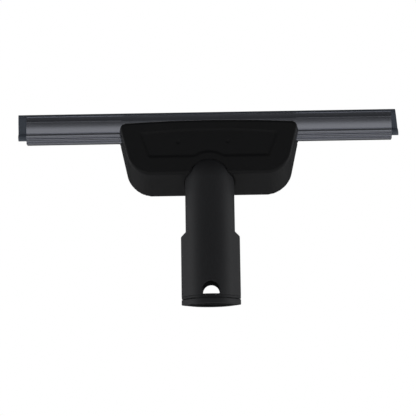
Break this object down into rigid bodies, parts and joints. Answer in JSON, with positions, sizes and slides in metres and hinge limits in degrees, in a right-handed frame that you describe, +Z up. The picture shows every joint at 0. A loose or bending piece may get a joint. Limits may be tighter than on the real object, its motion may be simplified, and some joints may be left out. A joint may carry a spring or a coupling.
{
  "type": "window squeegee head",
  "caption": "Wide window squeegee head: rubber blade in an aluminium channel, carried by a hollow black moulded head on a keyed socket that slips over a wand",
  "frame": {"origin": "centre of the mouth of the wand socket", "axes": "+Z up the socket to the blade, X along the blade, +Y towards the window"},
  "size_m": [0.2503, 0.032, 0.1279],
  "materials": {
    "black_moulding": "fine textured black moulded plastic",
    "channel_aluminium": "dark bright-drawn anodised aluminium",
    "blade_rubber": "smooth blue-black natural rubber",
    "inner_plastic": "plain grey moulded plastic",
    "seal_silicone": "matt red-brown silicone",
    "screw_steel": "zinc-plated steel"
  },
  "bodies": {
    "head": {"blade_channel": "channel_aluminium", "bracket_screw_left": "screw_steel", "bracket_screw_right": "screw_steel", "channel_bracket": "screw_steel", "cover_screw_inner_left": "screw_steel", "cover_screw_inner_right": "screw_steel", "cover_screw_lower_left": "screw_steel", "cover_screw_lower_right": "screw_steel", "cover_screw_upper_left": "screw_steel", "cover_screw_upper_right": "screw_steel", "front_cover": "black_moulding", "inlet_seal": "seal_silicone", "inlet_washer": "seal_silicone", "manifold_gasket": "seal_silicone", "rear_housing": "black_moulding", "socket_end_ring": "black_moulding", "socket_tube": "black_moulding", "steam_inlet": "inner_plastic", "steam_manifold": "inner_plastic", "steam_pipe": "seal_silicone"},
    "blade": {"rubber_blade": "blade_rubber"}
  },
  "joints": [
    {"name": "blade_slide", "type": "slide", "parent": "head", "child": "blade", "axis": [1, 0, 0], "range_m": [-0.24, 0.24]}
  ]
}
